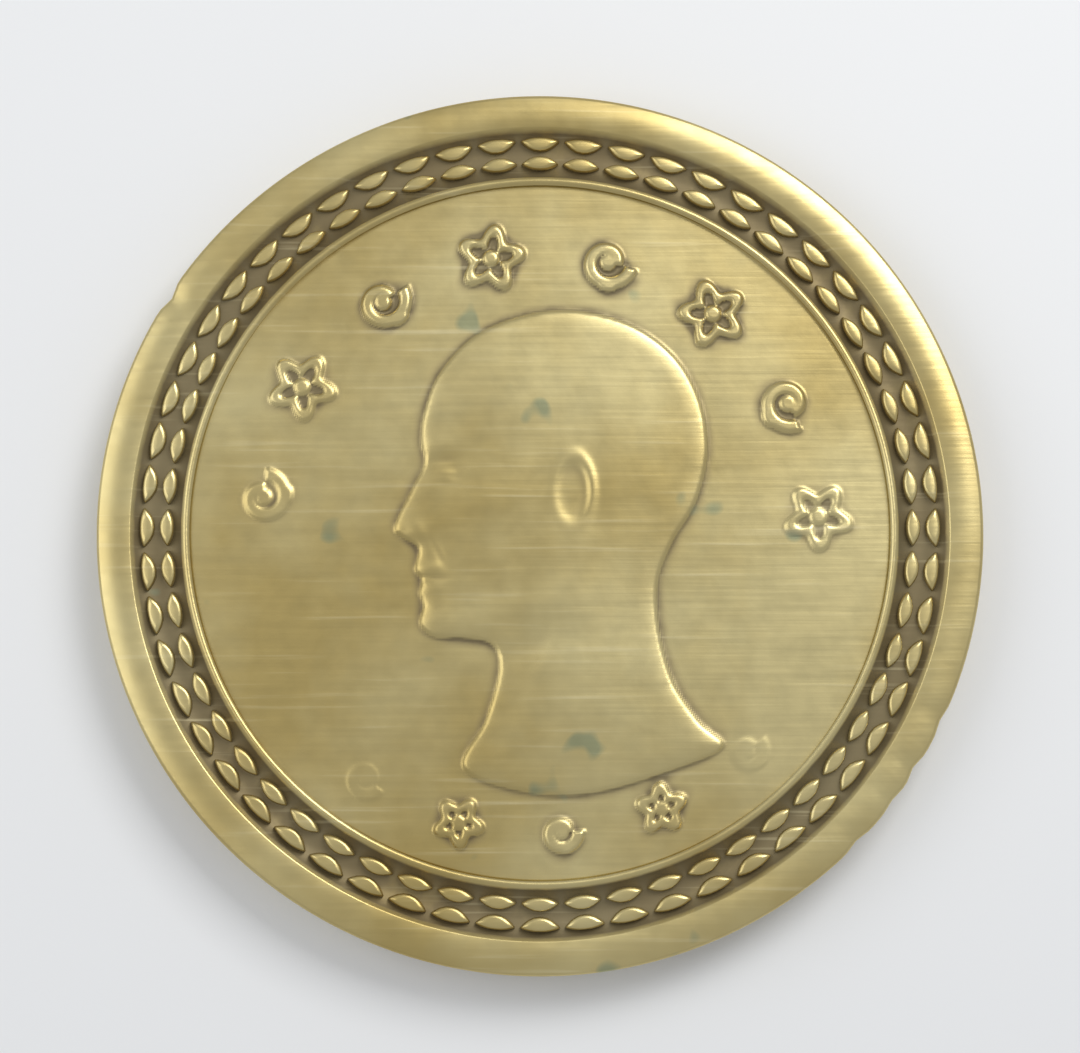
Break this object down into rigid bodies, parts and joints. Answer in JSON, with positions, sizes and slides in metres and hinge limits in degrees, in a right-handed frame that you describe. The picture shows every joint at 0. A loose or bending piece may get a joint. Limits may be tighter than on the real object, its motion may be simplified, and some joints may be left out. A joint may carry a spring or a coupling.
{
  "type": "coin",
  "caption": "Round struck brass coin with a raised rim, a border of small crescents and a bald head in low relief, facing left.",
  "frame": {"origin": "centre of the coin in the plane of the reverse rim, on which it lies", "axes": "+Z out of the obverse, +Y towards the top of its design, +X to the right of the portrait, which faces -X"},
  "size_m": [0.027, 0.027, 0.0018],
  "materials": {
    "brass": "worn satin with dark toning in the recesses"
  },
  "bodies": {
    "root": {"coin": "brass"}
  },
  "joints": []
}
